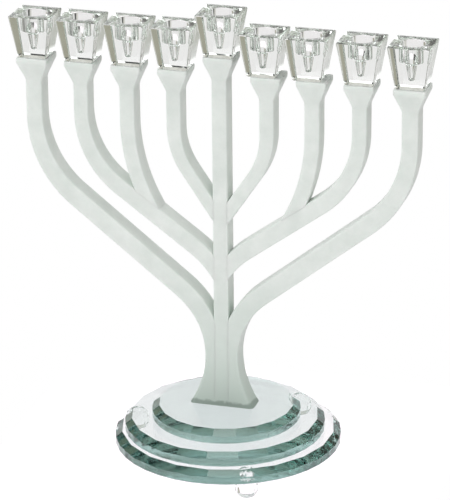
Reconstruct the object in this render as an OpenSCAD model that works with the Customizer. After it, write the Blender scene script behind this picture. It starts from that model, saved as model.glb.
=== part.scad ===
// Nine-branch glass menorah: nine crystal candle cups on a tree of nine
// frosted glass bars, bonded to a base of three bevelled glass discs on ball feet.
// Millimetres, +Z up, the row of cups along X, origin on the ground under the stem.

/* [Base discs] */
// Radius of the bottom disc
disc_bottom_r = 70; // [66:0.5:80]
// Radius of the middle disc
disc_middle_r = 62; // [54:0.2:64]
// Radius of the top disc
disc_top_r = 46; // [40:0.2:50]
// Thickness of each disc
disc_h = 8; // [6:0.5:12]
// How far each disc sits to the right of the stem, bottom disc first
disc_x = [2, 0, 1]; // [-3:0.1:3]
// Width of the bevel ground round each disc
bevel_w = 4.8; // [3:0.1:6]
// Drop of the bevel from a disc's top face to its plain edge
bevel_h = 3.6; // [2:0.1:5]
// Flat facets round each bevel
bevel_facets = 20; // [16:1:36]
// Turn of the facets' corners from +X, in degrees
bevel_turn = 6; // [0:1:17]

/* [Ball feet] */
// Distance from the centre of a ball foot to its flat facets
ball_r = 7.3; // [6:0.1:9]
// Height of a ball foot, less than a full ball, so its top is ground flat
ball_h = 13.3; // [12:0.1:14]
// Facets round a ball foot
ball_facets = 12; // [8:4:12]
// Distance of each foot from the centre of the bottom disc
ball_out = 60; // [45:1:62]

/* [Glass bars] */
// Width of the stem, seen from the front
bar_w = 9.3; // [8:0.1:11]
// Width of each branch, outermost first
arm_w = [11, 9.8, 9.3, 8.8]; // [8:0.1:13]
// Depth of every bar, front to back
bar_d = 13; // [9:0.1:15]
// Flat ground along a bar's long edges
bar_edge = 1; // [0.5:0.1:2]
// Height of the row's bars above the base
row_h = 215.7; // [205:0.1:225]
// How far the stem stands above the row
stem_rise = 9.9; // [5:0.1:15]
// Side of the square head that a bar flares into
head_w = 18.4; // [17:0.1:21]
// Side of the heads of the outermost branches
outer_head_w = 19.6; // [17:0.1:21]
// Height of a head, from the start of its flare to its rim
head_h = 15.7; // [13:0.1:20]
// Height of the plain rim above the flare
rim_h = 3.2; // [2:0.1:6]

/* [Branches] */
// Distance of each left bar from the stem, outermost first
left_x = [117, 87.2, 57.9, 28.6]; // [20:0.1:125]
// Distance of each right bar from the stem, outermost first
right_x = [117, 86.3, 57.3, 29.3]; // [20:0.1:125]
// Height at which each branch leaves the vertical, outermost first
bend_z = [178.9, 183.1, 180, 178]; // [160:0.1:190]
// Centre-line radius of each branch's bend
bend_r = [65, 56.5, 112, 47.3]; // [30:0.1:130]
// Turn of each bend from the vertical, in degrees
bend_a = [51.6, 54, 29, 34]; // [20:0.1:60]
// Centre-line radius of the outermost branch's lower bend
root_r = 53; // [40:0.5:60]
// Centre-line distance from the stem's axis at the outermost branch's waist
waist_x = 4.95; // [4.7:0.05:6]
// Straight part of the second branch
second_run = 57.9; // [50:0.1:65]
// Centre-line radius of the second branch's lower bend
second_r = 60; // [50:1:80]

/* [Foot of the tree] */
// Radius of the flare at the foot, to the outside of the bars
flare_r = 60; // [50:1:80]
// Depth of the foot where it meets the base
foot_d = 15.6; // [14:0.1:20]
// Height over which the foot deepens
foot_h = 30; // [10:1:32]

/* [Candle cups] */
// Distance of each left cup from the stem, outermost first
cup_left_x = [117, 87.2, 57.3, 28]; // [20:0.1:125]
// Distance of each right cup from the stem, outermost first
cup_right_x = [117, 86.3, 54.5, 26.5]; // [20:0.1:125]
// Side of a cup's square top
cup_top_w = 26; // [24:0.1:28]
// Side of a cup's square bottom
cup_bottom_w = 17.6; // [16.2:0.1:20]
// Height of a cup
cup_h = 26.5; // [24:0.1:30]
// Flat ground along a cup's edges
cup_edge = 0.7; // [0.3:0.1:1.5]
// Radius of the candle socket
socket_r = 7.4; // [6:0.1:8.5]
// Depth of the candle socket
socket_h = 10.6; // [9:0.1:13]
// Flat ground round the mouth of the socket
mouth = 0.6; // [0.3:0.1:1]
// Radius of the peg hole under the socket, at its top
peg_top_r = 3.5; // [2.5:0.1:4.5]
// Radius of the peg hole at its bottom
peg_bottom_r = 1.9; // [1:0.1:2.4]
// Depth of the peg hole's bottom below the rim of the cup
peg_depth = 21.6; // [18:0.1:23]

/* [Hidden] */
$fn = 96;
// Width and head of the bar being made, the stem's unless a branch sets its own
$width = bar_w;
$head = head_w;
clear_glass = [0.84, 0.9, 0.88];
frosted_glass = [0.78, 0.83, 0.8];
base_glass = [0.55, 0.68, 0.64];
tree_z = ball_h + 3 * disc_h;
stem_h = row_h + stem_rise;
flare_h = head_h - rim_h;
corner_drop = 0.2;
foot_band = 1;
foot_turns = [177, -63, 57];
cup_step = 1.4;
far = 400;
// How far bars run past the plane that trims them
spare = 12;
// A bend is a hair slimmer than the straights, and runs a little way into them,
// so that the two are one piece of glass
slim = 0.01;
lap = 0.5;
// Straight part of the outermost branch, which makes it arrive upright at its waist
root_a = bend_a[0];
first_run = (left_x[0] - waist_x - (bend_r[0] + root_r) * (1 - cos(root_a))) / sin(root_a);
waist_z = bend_z[0] - (bend_r[0] + root_r) * sin(root_a) - first_run * cos(root_a);
waist_edge_x = waist_x + arm_w[0] / 2 - slim;

// ---- base ----

// One flat facet of a bevel, as the slab of glass that grinding it takes away
module bevel_cut(r) {
    translate([r - bevel_w, 0, disc_h])
        rotate([0, atan2(bevel_h, bevel_w), 0])
            translate([-far / 8, -far / 8, 0])
                cube([far / 4, far / 4, 2 * disc_h]);
}

module disc(r) {
    difference() {
        cylinder(r = r, h = disc_h);
        for (i = [0:bevel_facets - 1])
            rotate([0, 0, bevel_turn + (i + 0.5) * 360 / bevel_facets])
                bevel_cut(r);
    }
}

module base_disc_bottom() {
    color(base_glass)
        translate([disc_x[0], 0, ball_h])
            disc(disc_bottom_r);
}

module base_disc_middle() {
    color(base_glass)
        translate([disc_x[1], 0, ball_h + disc_h])
            disc(disc_middle_r);
}

module base_disc_top() {
    color(base_glass)
        translate([disc_x[2], 0, ball_h + 2 * disc_h])
            disc(disc_top_r);
}

// A faceted ball that rests on one flat facet and is cut flat on top
module ball_foot(i) {
    color(clear_glass)
        translate([disc_x[0], 0, ball_r])
            rotate([0, 0, foot_turns[i]])
                translate([ball_out, 0, 0])
                    difference() {
                        sphere(r = ball_r / cos(180 / ball_facets), $fn = ball_facets);
                        translate([-2 * ball_r, -2 * ball_r, ball_h - ball_r])
                            cube(4 * ball_r);
                    }
}

// ---- bars ----

// Cross-section of a bar: x across it, y through its depth
module bar_section(w = $width, d = bar_d) {
    x = w / 2;
    y = d / 2;
    e = bar_edge;
    polygon([
        [x, y - e], [x - e, y], [e - x, y], [-x, y - e],
        [-x, e - y], [e - x, -y], [x - e, -y], [x, e - y]
    ]);
}

// A straight length of bar, downward from the origin
module straight(length) {
    translate([0, 0, -length])
        linear_extrude(length)
            bar_section();
}

// Places its children at the end of a bend that starts downward at the origin;
// a positive turn goes towards -X and a negative one towards +X
module after_bend(r, turn) {
    s = sign(turn);
    translate([-s * r, 0, 0])
        rotate([0, turn, 0])
            translate([s * r, 0, 0])
                children();
}

// The curved length of bar between the two ends of that bend
module bend(r, turn) {
    lap_angle = lap / r * 180 / PI;
    mirror([turn < 0 ? 1 : 0, 0, 0])
        translate([-r, 0, 0])
            rotate([90, abs(turn) + lap_angle, 0])
                rotate_extrude(angle = abs(turn) + 2 * lap_angle)
                    translate([r, 0])
                        bar_section($width - 2 * slim, bar_d - 2 * slim);
}

// A wall that is 2 * a thick at the origin and coves out to 2 * b over the height h,
// with a plain band above it up to the height top and a plain tail below the origin
module coved_wall(a, b, h, top, tail = 0) {
    r = (h * h + (b - a) * (b - a)) / (2 * (b - a));
    rotate([90, 0, 0])
        linear_extrude(far / 4, center = true)
            union() {
                difference() {
                    translate([-b, 0])
                        square([2 * b, top]);
                    for (s = [-1, 1])
                        intersection() {
                            translate([s * (a + r), 0])
                                circle(r);
                            translate([-2 * b, -1])
                                square([4 * b, h + 1]);
                        }
                }
                if (tail > 0)
                    translate([-a, -tail])
                        square([2 * a, tail]);
            }
}

// The square head of a bar, which the cup stands on
module head() {
    corner = ($width / 2 + bar_d / 2 - bar_edge) / sqrt(2);
    rim_corner = ($head - 2 * bar_edge) / sqrt(2);
    intersection() {
        coved_wall($width / 2, $head / 2, flare_h, head_h);
        rotate([0, 0, 90])
            coved_wall(bar_d / 2, $head / 2, flare_h, head_h);
        intersection_for(turn = [45, -45])
            rotate([0, 0, turn])
                coved_wall(corner, rim_corner, flare_h - corner_drop, head_h);
    }
}

// Keeps the glass on the +X side of the stem's flank
module trim_to_stem() {
    difference() {
        children();
        translate([bar_w / 2 - far, -far / 2, -far / 2])
            cube([far, far, 2 * far]);
    }
}

// The outside shape of the foot, front to back, from the base up
module foot_depth() {
    translate([0, 0, foot_h])
        mirror([0, 0, 1])
            rotate([0, 0, 90])
                coved_wall(bar_d / 2 - slim, foot_d / 2, foot_h - foot_band, foot_h, waist_z - foot_h);
}

// The part of the outermost branch below its waist, flaring out to the base
module root_flare() {
    reach = flare_r / 3;
    intersection() {
        translate([waist_edge_x + flare_r, 0, waist_z])
            rotate([90, 0, 0])
                rotate([0, 0, 180])
                    rotate_extrude(angle = asin(waist_z / flare_r))
                        translate([flare_r + reach / 2, 0])
                            bar_section(reach, foot_d);
        foot_depth();
    }
}

// The part of each branch below its upper bend, trimmed where it is bonded
module outermost_tail() {
    straight(first_run);
    translate([0, 0, -first_run]) {
        bend(root_r, -root_a);
        after_bend(root_r, -root_a)
            straight(2 * lap);
    }
}

module second_tail() {
    straight(second_run);
    translate([0, 0, -second_run])
        bend(second_r, -2 * bend_a[1] / 3);
}

// Places its children at the start of branch i's upper bend
module at_bend(i, x) {
    translate([x[i], 0, bend_z[i]])
        children();
}

// A branch from its head down through its upper bend, with its own tail as child
module branch(i, x) {
    neck_z = row_h - head_h;
    translate([x[i], 0, neck_z]) {
        head();
        straight(neck_z - bend_z[i]);
    }
    at_bend(i, x) {
        bend(bend_r[i], bend_a[i]);
        after_bend(bend_r[i], bend_a[i])
            children();
    }
}

// Branch i of the right-hand side, with its bars at the distances x
module arm(i, x) {
    $width = arm_w[i];
    $head = i == 0 ? outer_head_w : head_w;
    if (i == 0)
        trim_to_stem() {
            branch(i, x)
                outermost_tail();
            root_flare();
        }
    if (i == 1)
        trim_to_stem()
            branch(i, x)
                second_tail();
    if (i == 2)
        difference() {
            branch(i, x)
                straight(spare);
            at_bend(1, x)
                after_bend(bend_r[1], bend_a[1])
                    translate([-arm_w[1] / 2, -far / 2, -far / 2])
                        cube(far);
        }
    if (i == 3)
        trim_to_stem()
            branch(i, x)
                straight(4 * spare);
}

module arm_left(i) {
    color(frosted_glass)
        translate([0, 0, tree_z])
            mirror([1, 0, 0])
                arm(i, left_x);
}

module arm_right(i) {
    color(frosted_glass)
        translate([0, 0, tree_z])
            arm(i, right_x);
}

module stem() {
    neck_z = stem_h - head_h;
    color(frosted_glass)
        translate([0, 0, tree_z]) {
            translate([0, 0, neck_z]) {
                head();
                straight(neck_z - waist_z + lap);
            }
            intersection() {
                linear_extrude(waist_z)
                    bar_section(bar_w - 2 * slim, foot_d);
                foot_depth();
            }
        }
}

// ---- cups ----

// A wall that tapers straight from 2 * a thick at the origin to 2 * b at the height of a cup
module tapered_wall(a, b) {
    e = cup_edge;
    rotate([90, 0, 0])
        linear_extrude(far / 4, center = true)
            polygon([[-a, 0], [a, 0], [b, cup_h - e], [b - e, cup_h], [e - b, cup_h], [-b, cup_h - e]]);
}

module cup(x, z) {
    top = cup_h;
    a = cup_bottom_w / 2;
    b = cup_top_w / 2;
    color(clear_glass)
        translate([x, 0, tree_z + z])
            difference() {
                intersection() {
                    intersection_for(turn = [0, 90])
                        rotate([0, 0, turn])
                            tapered_wall(a, b);
                    intersection_for(turn = [45, -45])
                        rotate([0, 0, turn])
                            tapered_wall(a * sqrt(2) - cup_edge, b * sqrt(2) - cup_edge);
                }
                translate([0, 0, top - socket_h])
                    cylinder(r = socket_r, h = socket_h);
                translate([0, 0, top - mouth])
                    cylinder(r1 = socket_r, r2 = socket_r + 2 * mouth, h = 2 * mouth);
                translate([0, 0, top - socket_h - cup_step])
                    cylinder(r1 = peg_top_r, r2 = socket_r, h = cup_step);
                translate([0, 0, top - peg_depth])
                    cylinder(r1 = peg_bottom_r, r2 = peg_top_r, h = peg_depth - socket_h - cup_step);
            }
}

base_disc_bottom();
base_disc_middle();
base_disc_top();
ball_foot(0);  // foot_left
ball_foot(1);  // foot_front_right
ball_foot(2);  // foot_back_right
stem();
cup(0, stem_h);  // cup_center
for (i = [0:3]) {
    arm_left(i);
    arm_right(i);
    cup(-cup_left_x[i], row_h);
    cup(cup_right_x[i], row_h);
}
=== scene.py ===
"""Looks of the glass menorah: crystal cups, frosted glass bars and a bevelled glass base."""
import math

import bmesh
import bpy
from mathutils import Matrix, Vector


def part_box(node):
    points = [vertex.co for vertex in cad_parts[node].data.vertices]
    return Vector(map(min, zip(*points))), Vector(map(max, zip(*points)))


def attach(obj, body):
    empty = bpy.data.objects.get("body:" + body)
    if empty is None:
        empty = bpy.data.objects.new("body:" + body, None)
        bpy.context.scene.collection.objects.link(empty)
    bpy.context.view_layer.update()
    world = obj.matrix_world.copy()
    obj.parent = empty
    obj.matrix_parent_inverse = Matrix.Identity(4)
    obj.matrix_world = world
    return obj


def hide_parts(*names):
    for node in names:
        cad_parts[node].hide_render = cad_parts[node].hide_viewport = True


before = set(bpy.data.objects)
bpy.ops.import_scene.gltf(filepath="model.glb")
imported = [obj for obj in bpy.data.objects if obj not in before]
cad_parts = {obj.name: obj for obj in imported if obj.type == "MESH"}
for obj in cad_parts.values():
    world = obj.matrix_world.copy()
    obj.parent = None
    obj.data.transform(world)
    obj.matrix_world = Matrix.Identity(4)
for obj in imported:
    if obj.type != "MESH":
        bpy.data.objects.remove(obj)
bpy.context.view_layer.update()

MM = 0.001
SIDES = ("left", "right")

# ---- driving sizes, in millimetres; heights are above the base unless they say otherwise ----

# The bars. Each list of four is for the branches, outermost first, and its widths are from the front.
STEM_W, BAR_D = 9.3, 13.0              # the stem from the front, and every bar front to back
ARM_TOP_W = (10.1, 9.0, 9.3, 9.0)      # widths under the heads
ARM_SLOPE_W = (11.8, 10.6, 9.3, 8.2)   # widths on the slopes
WAIST_W, SECOND_END_W = 11.0, 9.8      # widths of branches 1 and 2 where they end their lower bends
BAR_ROUND = 1.0                        # rounding of a bar's long edges
LEFT_X = (117.0, 87.2, 57.9, 28.6)     # distances from the stem
RIGHT_X = (117.0, 86.3, 57.3, 29.3)
BEND_Z = (178.9, 183.1, 180.0, 178.0)  # heights at which the branches leave the vertical
BEND_R = (65.0, 56.5, 112.0, 47.3)     # centre-line radii of the bends
BEND_A = (51.6, 54.0, 29.0, 34.0)      # turns of the bends, in degrees
BEND_STEP = 3                          # degrees of bend to a cross-section, at most
ROOT_R, WAIST_X = 53.0, 4.95           # branch 1: its lower bend, and its place at the waist
SECOND_RUN, SECOND_R, SECOND_TURN = 57.9, 60.0, 36.0   # branch 2: its straight part and lower bend
THIRD_RUN, FOURTH_RUN = 12, 48         # straight parts of branches 3 and 4, before they are trimmed
BOND = 0.02                            # clear adhesive between bonded faces
SEAM = 0.5                             # how far the adhesive of a seam fills the rounding beside it

# The heads and the foot.
HEAD_W, OUTER_HEAD_W, HEAD_H, RIM_H = 18.4, 19.6, 15.7, 3.2
FLARE_ROUND, FLARE_LAP = 8.0, 0.6      # radius of a head's neck; how far up the rim its flare is drawn
HEAD_EDGE = ((0, 0.6), (0.2, 0.2), (0.6, 0.0))           # a head's upper edge: drop and inset
FLARE_R, FOOT_D, FOOT_H = 60.0, 15.6, 30.0   # the foot's flare, its depth, and where it starts to deepen
FOOT_ROUND = 1.8                       # how much rounder the edges of branch 1 get at the foot

# The base.
BEVEL_W, BEVEL_H, BEVEL_FACETS, BEVEL_TURN = 4.8, 3.6, 20, 6.0
EDGE_FLATS = 2                         # flats of a disc's upright edge to a facet of its bevel
DISC_ARRIS = 0.35                      # ground off a disc's lower edge
BALL_R, BALL_FACETS = 7.3, 12          # from the centre of a ball foot to its flat facets

# The cups. Depths are below the rim.
CUP_BOTTOM_W, CUP_SIDE_STEPS = 17.6, 23
SOCKET_R, SOCKET_H, MOUTH = 7.4, 10.6, 0.6
PEG_TOP_R, PEG_BOTTOM_R, PEG_DEPTH, FUNNEL_H = 3.5, 1.9, 21.6, 1.4

# Welding distances of the mesh tools, in metres.
CUT_DIST, WELD_DIST = 1e-7, 1e-8


def size_of(node):
    """A CAD node's lowest and highest corners, in millimetres."""
    low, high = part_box(node)
    return Vector(low) / MM, Vector(high) / MM


BASE_TOP = size_of("base_disc_top")[1].z


# ---- mesh tools ----

def rounded_rect(half_w, half_d, corner, side_steps=1, corner_steps=4):
    """Points round a rectangle with round corners, anticlockwise from the +X side."""
    points = []
    for quarter, (sx, sy) in enumerate(((1, 1), (-1, 1), (-1, -1), (1, -1))):
        cx, cy = sx * (half_w - corner), sy * (half_d - corner)
        for i in range(corner_steps + 1):
            a = math.radians(90 * quarter + 90 * i / corner_steps)
            points.append((cx + corner * math.cos(a), cy + corner * math.sin(a)))
        length = 2 * ((half_d if quarter % 2 else half_w) - corner)
        dx, dy = ((-1, 0), (0, -1), (1, 0), (0, 1))[quarter]
        x0, y0 = points[-1]
        for i in range(1, side_steps):
            step = length * i / side_steps
            points.append((x0 + dx * step, y0 + dy * step))
    return points


def loft(rings):
    """A closed bmesh skin over rings of equally many points, given in millimetres."""
    bm = bmesh.new()
    layers = [[bm.verts.new(Vector(point) * MM) for point in points] for points in rings]
    count = len(layers[0])
    for low, high in zip(layers, layers[1:]):
        for i in range(count):
            j = (i + 1) % count
            bm.faces.new((low[i], low[j], high[j], high[i]))
    bm.faces.new(list(reversed(layers[0])))
    bm.faces.new(layers[-1])
    return bm


def cut(bm, point, normal):
    """Cuts away the side of a plane that the normal points to, and closes the cut."""
    cut_edges = bmesh.ops.bisect_plane(
        bm, geom=bm.verts[:] + bm.edges[:] + bm.faces[:], plane_co=Vector(point) * MM,
        plane_no=normal, clear_outer=True, dist=CUT_DIST)["geom_cut"]
    rim = [e for e in cut_edges if isinstance(e, bmesh.types.BMEdge)]
    bmesh.ops.edgeloop_fill(bm, edges=rim)


def finish_piece(bm, name, material, nodes, sharp=30, mirrored=False, edge=0):
    """Turns a bmesh into a piece of the object that stands for CAD nodes.

    Edges that turn by less than sharp, in degrees, are shaded smooth, and edge is the width that is
    ground off the others, in millimetres.
    """
    if mirrored:
        bmesh.ops.scale(bm, vec=(-1, 1, 1), verts=bm.verts)
    bmesh.ops.remove_doubles(bm, verts=bm.verts, dist=WELD_DIST)
    bmesh.ops.recalc_face_normals(bm, faces=bm.faces)
    for face in bm.faces:
        face.smooth = True
    for e in bm.edges:
        e.smooth = e.calc_face_angle(0) < math.radians(sharp)
    mesh = bpy.data.meshes.new(name)
    bm.to_mesh(mesh)
    bm.free()
    piece = bpy.data.objects.new(name, mesh)
    bpy.context.collection.objects.link(piece)
    mesh.materials.append(material)
    if edge:
        bevel = piece.modifiers.new("ground_edges", "BEVEL")
        bevel.width = edge * MM
        bevel.segments = 2
        bevel.limit_method = "ANGLE"
        bevel.angle_limit = math.radians(sharp - 1)
        bevel.harden_normals = True
    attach(piece, "root")
    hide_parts(*nodes)
    return piece


# ---- materials ----

# Places of a Mix node's two colours among its inputs, and of the mixed colour among its outputs.
MIX_A, MIX_B, MIX_RESULT = 6, 7, 2
# Colours of the frosted glass: its cloudy skin, the painted shade and painted green light from the glass
# base on its lowest stretch, and a dark green band at the foot.
MILK_DEEP, MILK_PALE = (0.73, 0.775, 0.74), (0.815, 0.85, 0.82)
PAINTED_BASE_SHADE_GREEN, FOOT_BAND_GREEN = (0.60, 0.69, 0.63), (0.36, 0.44, 0.39)
# Heights above the ground, in metres, over which the painted shade and green light fade in going down,
# and over which the dark band at the foot ends.
PAINTED_SHADE_LOW, PAINTED_SHADE_HIGH = 0.037, 0.13
FOOT_BAND_LOW, FOOT_BAND_HIGH = 0.0415, 0.0428
FOOT_BAND_WOBBLE = 0.004                    # how far, in metres, the band's edge wavers


def new_material(name):
    """An empty material, with its nodes, its links and its shader."""
    material = bpy.data.materials.new(name)
    material.use_nodes = True
    nodes, links = material.node_tree.nodes, material.node_tree.links
    shader = nodes["Principled BSDF"]
    return material, nodes, links, shader


def noise(nodes, links, coords, scale, detail, rough=0.5):
    """A noise pattern over a piece; scale is its number of spots in a metre."""
    node = nodes.new("ShaderNodeTexNoise")
    links.new(coords, node.inputs["Vector"])
    node.inputs["Scale"].default_value = scale
    node.inputs["Detail"].default_value = detail
    node.inputs["Roughness"].default_value = rough
    return node.outputs["Fac"]


def bump(nodes, links, height, distance, strength, normal=None):
    """A normal that follows a height pattern, over another normal if one is given."""
    node = nodes.new("ShaderNodeBump")
    links.new(height, node.inputs["Height"])
    node.inputs["Distance"].default_value = distance
    node.inputs["Strength"].default_value = strength
    if normal is not None:
        links.new(normal, node.inputs["Normal"])
    return node.outputs[0]


def map_range(nodes, links, value, start, end, low=0.0, high=1.0):
    """A value that goes from low to high while another goes from start to end."""
    node = nodes.new("ShaderNodeMapRange")
    links.new(value, node.inputs["Value"])
    limits = (("From Min", start), ("From Max", end), ("To Min", low), ("To Max", high))
    for socket, number in limits:
        node.inputs[socket].default_value = number
    return node.outputs[0]


def blend(nodes, links, factor, first, second):
    """The first colour where the factor is 0, and the second where it is 1."""
    node = nodes.new("ShaderNodeMix")
    node.data_type = "RGBA"
    links.new(factor, node.inputs["Factor"])
    for index, colour in ((MIX_A, first), (MIX_B, second)):
        if isinstance(colour, tuple):
            node.inputs[index].default_value = (*colour, 1)
        else:
            links.new(colour, node.inputs[index])
    return node.outputs[MIX_RESULT]


def clear_glass(name, ior, tint, density, ripple):
    """Polished glass that absorbs a little, with faint haze and faces that are not quite flat."""
    material, nodes, links, shader = new_material(name)
    shader.inputs["Transmission Weight"].default_value = 1
    shader.inputs["IOR"].default_value = ior
    coords = nodes.new("ShaderNodeTexCoord").outputs["Object"]
    waves = noise(nodes, links, coords, scale=60, detail=2)
    links.new(bump(nodes, links, waves, distance=0.001, strength=ripple), shader.inputs["Normal"])
    haze = noise(nodes, links, coords, scale=900, detail=3)
    rough = map_range(nodes, links, haze, start=0.55, end=0.9, low=0.0, high=0.03)
    links.new(rough, shader.inputs["Roughness"])
    colour = blend(nodes, links, haze, (1, 1, 1), (0.97, 0.98, 0.975))
    links.new(colour, shader.inputs["Base Color"])
    absorb = nodes.new("ShaderNodeVolumeAbsorption")
    absorb.inputs["Color"].default_value = (*tint, 1)
    absorb.inputs["Density"].default_value = density
    links.new(absorb.outputs[0], nodes["Material Output"].inputs["Volume"])
    return material


def frosted_glass(name):
    """Acid-etched glass: a matt, milky, cloudy skin, with painted shade and painted green light from the
    glass base on its lowest stretch, and a dark green band at the foot.
    """
    material, nodes, links, shader = new_material(name)
    coords = nodes.new("ShaderNodeTexCoord").outputs["Object"]
    split = nodes.new("ShaderNodeSeparateXYZ")
    links.new(coords, split.inputs[0])
    height = split.outputs["Z"]
    cloud = noise(nodes, links, coords, scale=70, detail=5, rough=0.65)
    grain = noise(nodes, links, coords, scale=2600, detail=3, rough=0.7)
    paleness = map_range(nodes, links, cloud, start=0.35, end=0.7)
    milk = blend(nodes, links, paleness, MILK_DEEP, MILK_PALE)
    # Painted shade and painted green light from the glass base: the colour turns darker and greener
    # towards the bottom.
    painted_shade = map_range(nodes, links, height, PAINTED_SHADE_LOW, PAINTED_SHADE_HIGH, low=1.0, high=0.0)
    body = blend(nodes, links, painted_shade, milk, PAINTED_BASE_SHADE_GREEN)
    # A dark green band at the foot, below a wavering edge.
    wobble = nodes.new("ShaderNodeMath")
    wobble.operation = "MULTIPLY_ADD"
    links.new(noise(nodes, links, coords, scale=260, detail=2), wobble.inputs[0])
    wobble.inputs[1].default_value = FOOT_BAND_WOBBLE
    links.new(height, wobble.inputs[2])
    foot_band = map_range(nodes, links, wobble.outputs[0], FOOT_BAND_LOW, FOOT_BAND_HIGH, low=1.0, high=0.0)
    links.new(blend(nodes, links, foot_band, body, FOOT_BAND_GREEN), shader.inputs["Base Color"])
    rough = map_range(nodes, links, grain, start=0.3, end=0.7, low=0.42, high=0.6)
    links.new(rough, shader.inputs["Roughness"])
    skin = bump(nodes, links, grain, distance=0.0002, strength=0.12)
    skin = bump(nodes, links, cloud, distance=0.002, strength=0.08, normal=skin)
    links.new(skin, shader.inputs["Normal"])
    shader.inputs["IOR"].default_value = 1.5
    shader.inputs["Subsurface Weight"].default_value = 0.5
    shader.inputs["Subsurface Radius"].default_value = (1.0, 1.1, 1.05)
    shader.inputs["Subsurface Scale"].default_value = 0.002
    return material


CUP_GLASS = clear_glass("cup_crystal", ior=1.52, tint=(0.55, 0.8, 0.62), density=4, ripple=0.02)
DISC_GLASS = clear_glass("base_glass", ior=1.52, tint=(0.2, 0.5, 0.45), density=13, ripple=0.012)
BALL_GLASS = clear_glass("foot_crystal", ior=1.54, tint=(0.5, 0.8, 0.7), density=3, ripple=0.01)
FROSTED = frosted_glass("frosted_glass")


# ---- base ----

def disc(node, sink):
    """A disc with a bevel of flat facets. It sinks a little into what it stands on, which bonds them."""
    low, high = size_of(node)
    middle = (low.x + high.x) / 2
    outer = (high.x - low.x) / 2
    inner = outer - BEVEL_W
    slope = BEVEL_H / BEVEL_W
    facet_turn = 360 / BEVEL_FACETS
    bottom, foot, lip, top = [], [], [], []
    for i in range(BEVEL_FACETS * EDGE_FLATS):
        off = math.radians(facet_turn * ((i % EDGE_FLATS) / EDGE_FLATS - 0.5))
        turn = math.radians(BEVEL_TURN + facet_turn * (i // EDGE_FLATS + 0.5)) + off
        c, s = math.cos(turn), math.sin(turn)
        flat = inner / math.cos(off)
        edge_z = high.z - (outer * math.cos(off) - inner) * slope
        under = outer - DISC_ARRIS
        bottom.append((middle + under * c, under * s, low.z - sink))
        foot.append((middle + outer * c, outer * s, low.z + DISC_ARRIS))
        lip.append((middle + outer * c, outer * s, edge_z))
        top.append((middle + flat * c, flat * s, high.z))
    bm = loft([bottom, foot, lip, top])
    return finish_piece(bm, node + "_glass", DISC_GLASS, [node], sharp=1, edge=0.1)


def ball_foot(node):
    """A faceted crystal ball, flat where it is bonded and where it stands."""
    low, high = size_of(node)
    centre = (low + high) / 2
    base_low, base_high = size_of("base_disc_bottom")
    turn = math.atan2(centre.y, centre.x - (base_low.x + base_high.x) / 2)
    radius = BALL_R / math.cos(math.pi / BALL_FACETS)
    rings = []
    for k in range(BALL_FACETS // 2):
        lat = math.radians(-90 + 180 / BALL_FACETS + k * 360 / BALL_FACETS)
        z = low.z + BALL_R + radius * math.sin(lat)
        r = radius * math.cos(lat)
        points = []
        for i in range(BALL_FACETS):
            a = turn + 2 * math.pi * i / BALL_FACETS
            points.append((centre.x + r * math.cos(a), centre.y + r * math.sin(a), z))
        rings.append(points)
    bm = loft(rings)
    cut(bm, (0, 0, high.z), (0, 0, 1))
    return finish_piece(bm, node + "_ball", BALL_GLASS, [node], sharp=10, edge=0.12)


# ---- bars ----

def flare(z, half, rim_half):
    """Half-width of a head at height z above its neck: a round neck, then straight to the rim."""
    flare_h = HEAD_H - RIM_H
    if z >= flare_h:
        return rim_half
    rise = rim_half - half
    spread = FLARE_ROUND - rise
    lean = math.asin(FLARE_ROUND / math.hypot(flare_h, spread)) - math.atan2(spread, flare_h)
    if z < FLARE_ROUND * math.sin(lean):
        return half + FLARE_ROUND - math.sqrt(FLARE_ROUND ** 2 - z * z)
    return rim_half - (flare_h - z) * math.tan(lean)


def ring(x, z, turn, half_w, half_d=BAR_D / 2, corner=BAR_ROUND):
    """One cross-section of a bar that runs downward and leans towards -X by turn, in degrees."""
    c, s = math.cos(math.radians(turn)), math.sin(math.radians(turn))
    return [(x + u * c, v, z - u * s) for u, v in rounded_rect(half_w, half_d, corner)]


def head_rings(x, top_z, width, head):
    """Cross-sections from a head's rim down to its neck, for a bar of this width."""
    neck_z = top_z - HEAD_H
    rings = []
    for down, inset in HEAD_EDGE:
        half = head / 2 - inset
        rings.append(ring(x, top_z - down, 0, half, half, BAR_ROUND))
    steps = 16
    for i in range(steps + 1):
        z = (HEAD_H - RIM_H + FLARE_LAP) * (1 - i / steps)
        half_w = flare(z, width / 2, head / 2)
        half_d = flare(z, BAR_D / 2, head / 2)
        rings.append(ring(x, neck_z + z, 0, half_w, half_d))
    return rings


def bend_point(x, z, turn, radius, swept):
    """Where the centre line of a bend from (x, z) has got to when it has turned by swept, in degrees."""
    side = math.copysign(1, swept)
    start = math.radians(turn)
    now = start + math.radians(swept)
    return (x - side * radius * (math.cos(start) - math.cos(now)),
            z + side * radius * (math.sin(start) - math.sin(now)))


def bend_rings(x, z, turn, radius, sweep, width, end_width):
    """Cross-sections of a bend from (x, z); a positive sweep turns towards -X. Also its end."""
    rings = []
    steps = max(2, math.ceil(abs(sweep) / BEND_STEP))
    for i in range(1, steps + 1):
        part = i / steps
        px, pz = bend_point(x, z, turn, radius, sweep * part)
        half_w = (width + (end_width - width) * part) / 2
        rings.append(ring(px, pz, turn + sweep * part, half_w))
    return rings, px, pz


def straight_end(x, z, turn, length):
    """Where a straight stretch of bar of this length ends."""
    a = math.radians(turn)
    return x - length * math.sin(a), z - length * math.cos(a)


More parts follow.
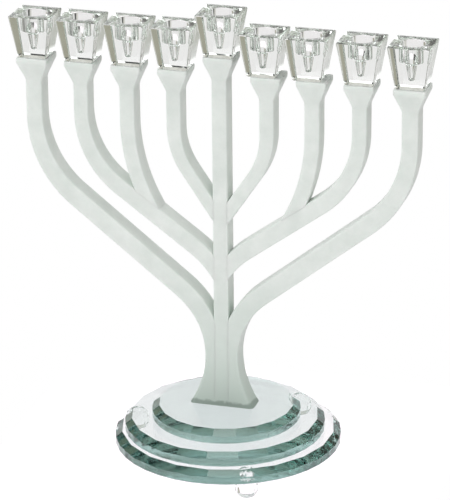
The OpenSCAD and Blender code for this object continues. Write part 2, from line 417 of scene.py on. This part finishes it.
def root_rings(waist_z):
    """Cross-sections of the outermost branch below its waist, flaring out to the base."""
    rings = []
    steps = 14
    inner_x = WAIST_X - WAIST_W / 2
    for i in range(1, steps + 1):
        z = waist_z * (1 - i / steps)
        outer_x = WAIST_X + WAIST_W / 2 + FLARE_R - math.sqrt(FLARE_R ** 2 - (waist_z - z) ** 2)
        middle, half_w = (inner_x + outer_x) / 2, (outer_x - inner_x) / 2
        corner = BAR_ROUND + FOOT_ROUND * (1 - z / waist_z) ** 2
        rings.append(ring(middle, max(z, BOND), 0, half_w, foot_half_depth(z), corner))
    return rings


def foot_half_depth(z):
    """Half the depth of the foot at height z."""
    if z >= FOOT_H:
        return BAR_D / 2
    rise = (FOOT_D - BAR_D) / 2
    r = (FOOT_H ** 2 + rise ** 2) / (2 * rise)
    return BAR_D / 2 + r - math.sqrt(r * r - (FOOT_H - z) ** 2)


def arm(side, number):
    """One branch, made on the right-hand side and mirrored for the left.

    Branch 3 is cut where it stands on the upper face of branch 2, and the others at the stem's side.
    """
    node = f"arm_{side}_{number}"
    i = number - 1
    distances = LEFT_X if side == "left" else RIGHT_X
    x, width, slope_w = distances[i], ARM_TOP_W[i], ARM_SLOPE_W[i]
    top_z = size_of(node)[1].z - BASE_TOP
    rings = head_rings(x, top_z, width, OUTER_HEAD_W if number == 1 else HEAD_W)
    rings.append(ring(x, BEND_Z[i], 0, width / 2))
    bend, x1, z1 = bend_rings(x, BEND_Z[i], 0, BEND_R[i], BEND_A[i], width, slope_w)
    rings += bend
    if number == 1:
        a = math.radians(BEND_A[0])
        run = (x - WAIST_X - (BEND_R[0] + ROOT_R) * (1 - math.cos(a))) / math.sin(a)
        x2, z2 = straight_end(x1, z1, BEND_A[0], run)
        rings.append(ring(x2, z2, BEND_A[0], slope_w / 2))
        bend, _, waist_z = bend_rings(x2, z2, BEND_A[0], ROOT_R, -BEND_A[0], slope_w, WAIST_W)
        rings += bend + root_rings(waist_z)
    elif number == 2:
        x2, z2 = straight_end(x1, z1, BEND_A[1], SECOND_RUN)
        rings.append(ring(x2, z2, BEND_A[1], slope_w / 2))
        rings += bend_rings(x2, z2, BEND_A[1], SECOND_R, -SECOND_TURN, slope_w, SECOND_END_W)[0]
    else:
        x2, z2 = straight_end(x1, z1, BEND_A[i], THIRD_RUN if number == 3 else FOURTH_RUN)
        rings.append(ring(x2, z2, BEND_A[i], slope_w / 2))
    bm = loft([[(px, py, pz + BASE_TOP) for px, py, pz in r] for r in rings])
    if number == 3:
        second_x, second_z = bend_point(distances[1], BEND_Z[1], 0, BEND_R[1], BEND_A[1])
        a = math.radians(BEND_A[1])
        up = Vector((-math.cos(a), 0, math.sin(a)))
        face = Vector((second_x, 0, second_z + BASE_TOP)) + up * (ARM_SLOPE_W[1] / 2 - SEAM)
        cut(bm, face, -up)
    else:
        cut(bm, (STEM_W / 2 - SEAM, 0, 0), (-1, 0, 0))
    return finish_piece(bm, node + "_bar", FROSTED, [node], mirrored=side == "left")


def stem():
    """The centre bar, with its head and its part of the foot."""
    top_z = size_of("cup_center")[0].z - BASE_TOP
    rings = head_rings(0, top_z, STEM_W, HEAD_W)
    steps = 14
    for i in range(steps + 1):
        z = FOOT_H * (1 - i / steps)
        rings.append(ring(0, max(z, BOND), 0, STEM_W / 2, foot_half_depth(z), SEAM))
    bm = loft([[(px, py, pz + BASE_TOP) for px, py, pz in r] for r in rings])
    return finish_piece(bm, "stem_bar", FROSTED, ["stem"])


# ---- cups ----

def cup(node):
    """A square crystal block that tapers downward, with a candle socket and a peg hole."""
    low, high = size_of(node)
    x = (low.x + high.x) / 2
    top_half = (high.x - low.x) / 2
    bottom_half = CUP_BOTTOM_W / 2
    height = high.z - low.z

    def outer(z, inset, corner):
        """A ring of the outside, at this height above the cup's bottom."""
        half = bottom_half + (top_half - bottom_half) * z / height - inset
        return [(x + u, v, low.z + z) for u, v in rounded_rect(half, half, corner, CUP_SIDE_STEPS)]

    def round_hole(depth, r):
        """A ring of the hole, with its points in line with those of the square outside."""
        points = []
        for u, v in rounded_rect(top_half, top_half, 1, CUP_SIDE_STEPS):
            a = math.atan2(v, u)
            points.append((x + r * math.cos(a), r * math.sin(a), high.z - depth))
        return points

    # Up the outside, with its edges ground a little, and then down the socket and the peg hole.
    rings = [
        outer(BOND, 0.5, 0.9),
        outer(0.5, 0.0, 1.1),
        outer(height - 0.6, 0.0, 1.1),
        outer(height - 0.15, 0.15, 1.05),
        outer(height, 0.6, 0.9),
        round_hole(0, SOCKET_R + MOUTH),
        round_hole(0.2, SOCKET_R + 0.2),
        round_hole(MOUTH, SOCKET_R),
        round_hole(SOCKET_H - 1, SOCKET_R),
        round_hole(SOCKET_H - 0.3, SOCKET_R - 0.3),
        round_hole(SOCKET_H, SOCKET_R - 1),
        round_hole(SOCKET_H + FUNNEL_H, PEG_TOP_R),
        round_hole(PEG_DEPTH - 0.8, PEG_BOTTOM_R),
        round_hole(PEG_DEPTH - 0.2, PEG_BOTTOM_R - 0.3),
        round_hole(PEG_DEPTH, PEG_BOTTOM_R - 0.9),
    ]
    bm = loft(rings)
    return finish_piece(bm, node + "_crystal", CUP_GLASS, [node], sharp=32)


for name, sink in (("bottom", 0.02), ("middle", 0.03), ("top", 0.03)):
    disc("base_disc_" + name, sink)
for name in ("foot_left", "foot_front_right", "foot_back_right"):
    ball_foot(name)
stem()
cup("cup_center")
for side in SIDES:
    for number in (1, 2, 3, 4):
        arm(side, number)
        cup(f"cup_{side}_{number}")


# ---- studio ----

FLOOR_HALF, FLOOR_GLOW, FLOOR_TINT = 0.14, 1.18, (1, 0.93, 0.973)     # in metres; strength; colour


def floor():
    """A small plain floor that glows like a light table, so that its light comes up through the glass."""
    bm = bmesh.new()
    corners = ((-1, -1), (1, -1), (1, 1), (-1, 1))
    bm.faces.new([bm.verts.new((x * FLOOR_HALF, y * FLOOR_HALF, 0)) for x, y in corners])
    mesh = bpy.data.meshes.new("floor")
    bm.to_mesh(mesh)
    bm.free()
    obj = bpy.data.objects.new("floor", mesh)
    bpy.context.collection.objects.link(obj)
    material, nodes, links, shader = new_material("floor")
    shader.inputs["Base Color"].default_value = (0.1, 0.1, 0.1, 1)
    shader.inputs["Roughness"].default_value = 1
    shader.inputs["Specular IOR Level"].default_value = 0
    shader.inputs["Emission Color"].default_value = (*FLOOR_TINT, 1)
    shader.inputs["Emission Strength"].default_value = FLOOR_GLOW
    mesh.materials.append(material)


def camera():
    """The camera, at the photograph's viewing angle."""
    azimuth, elevation, roll = math.radians(16.638), math.radians(21.415), math.radians(-0.55)
    target = Vector((1.04, 0, 137.78)) * MM
    distance = 2.07655
    back = Vector((math.sin(azimuth) * math.cos(elevation),
                   -math.cos(azimuth) * math.cos(elevation), math.sin(elevation)))
    right = Vector((math.cos(azimuth), math.sin(azimuth), 0))
    up = back.cross(right)
    rolled_right = right * math.cos(roll) + up * math.sin(roll)
    rolled_up = up * math.cos(roll) - right * math.sin(roll)
    data = bpy.data.cameras.new("camera")
    data.lens = 245.9
    data.sensor_width = 36
    data.clip_end = 50
    cam = bpy.data.objects.new("camera", data)
    bpy.context.collection.objects.link(cam)
    turn = Matrix((rolled_right, rolled_up, back)).transposed()
    cam.matrix_world = Matrix.Translation(target + back * distance) @ turn.to_4x4()
    bpy.context.scene.camera = cam


# The world is split by kind of ray, because clear glass in an even white room has no outlines. The camera
# sees plain white, and matt faces get an even soft light. Every other ray, bent by glass or mirrored by
# a gloss, sees a dark room with cards of light and shade. No real studio does this.
WHITE = (1, 1, 1)
GLASS_BOUNCES, MATT_BOUNCES = 48, 6
SKY, FRONT_FILL = 0.73, 0.12        # light on matt faces, and how much it gains in front and loses behind
ROOM = (0.05, 0.05, 0.05)
# Each card: heading from +Y towards +X, half its width, lowest and highest elevation, softness, all in
# degrees, and its brightness in red, green and blue. A later card covers an earlier one.
CARDS = (
    (0, 95, -60, 40, 8, (0.62, 0.61, 0.57)),
    (0, 42, -60, 12, 4, (0.88, 0.86, 0.865)),
    (-54, 3, -60, 60, 1, (0.06, 0.06, 0.06)),
    (-68, 4, -60, 60, 1, (0.06, 0.06, 0.06)),
    (-86, 5, -60, 60, 1, (0.06, 0.06, 0.06)),
    (56, 4, -60, 60, 1, (0.06, 0.06, 0.06)),
    (74, 5, -60, 60, 1, (0.06, 0.06, 0.06)),
    (32, 16, -28, 40, 4, (0.36, 0.35, 0.28)),
    (-150, 30, 10, 50, 6, (2.5, 2.5, 2.5)),
    (180, 62, -60, 8, 8, (0.62, 0.62, 0.60)),
    (0, 181, 74, 91, 3, (3, 3, 3)),
)


def studio_light():
    """Light from all round, painted on the world: white, an even fill, or the cards, by kind of ray."""
    scene = bpy.context.scene
    world = bpy.data.worlds.new("studio")
    scene.world = world
    world.use_nodes = True
    nodes, links = world.node_tree.nodes, world.node_tree.links
    background = nodes["Background"]

    def feed(node, index, value):
        if isinstance(value, bpy.types.NodeSocket):
            links.new(value, node.inputs[index])
        else:
            node.inputs[index].default_value = value

    def math_node(operation, *values):
        node = nodes.new("ShaderNodeMath")
        node.operation = operation
        for index, value in enumerate(values):
            feed(node, index, value)
        return node.outputs[0]

    def ramp(value, start, end):
        node = nodes.new("ShaderNodeMapRange")
        node.interpolation_type = "SMOOTHSTEP"
        feed(node, 0, value)
        node.inputs["From Min"].default_value = start
        node.inputs["From Max"].default_value = end
        return node.outputs[0]

    coord = nodes.new("ShaderNodeTexCoord")
    xyz = nodes.new("ShaderNodeSeparateXYZ")
    links.new(coord.outputs["Generated"], xyz.inputs[0])
    east, north, up = xyz.outputs
    heading = math_node("MULTIPLY", math_node("ARCTAN2", east, north), math.degrees(1))
    elevation = math_node("MULTIPLY", math_node("ARCSINE", up), math.degrees(1))
    colour = ROOM
    for centre, half, lowest, highest, soft, tint in CARDS:
        off = math_node("SUBTRACT", heading, centre)
        aside = math_node("ABSOLUTE", math_node("WRAP", off, 180, -180))
        mask = ramp(aside, half + soft, half)
        mask = math_node("MULTIPLY", mask, ramp(elevation, lowest - soft, lowest))
        mask = math_node("MULTIPLY", mask, ramp(elevation, highest + soft, highest))
        colour = blend(nodes, links, mask, colour, tint)
    path = nodes.new("ShaderNodeLightPath")
    fill = math_node("SUBTRACT", SKY, math_node("MULTIPLY", north, FRONT_FILL))
    for ray, light in (("Is Diffuse Ray", fill), ("Is Camera Ray", WHITE)):
        colour = blend(nodes, links, path.outputs[ray], colour, light)
    links.new(colour, background.inputs["Color"])
    background.inputs["Strength"].default_value = 1.0
    scene.view_settings.view_transform = "Standard"
    scene.cycles.max_bounces = GLASS_BOUNCES
    scene.cycles.transmission_bounces = GLASS_BOUNCES
    scene.cycles.glossy_bounces = GLASS_BOUNCES
    scene.cycles.diffuse_bounces = MATT_BOUNCES


floor()
camera()
studio_light()
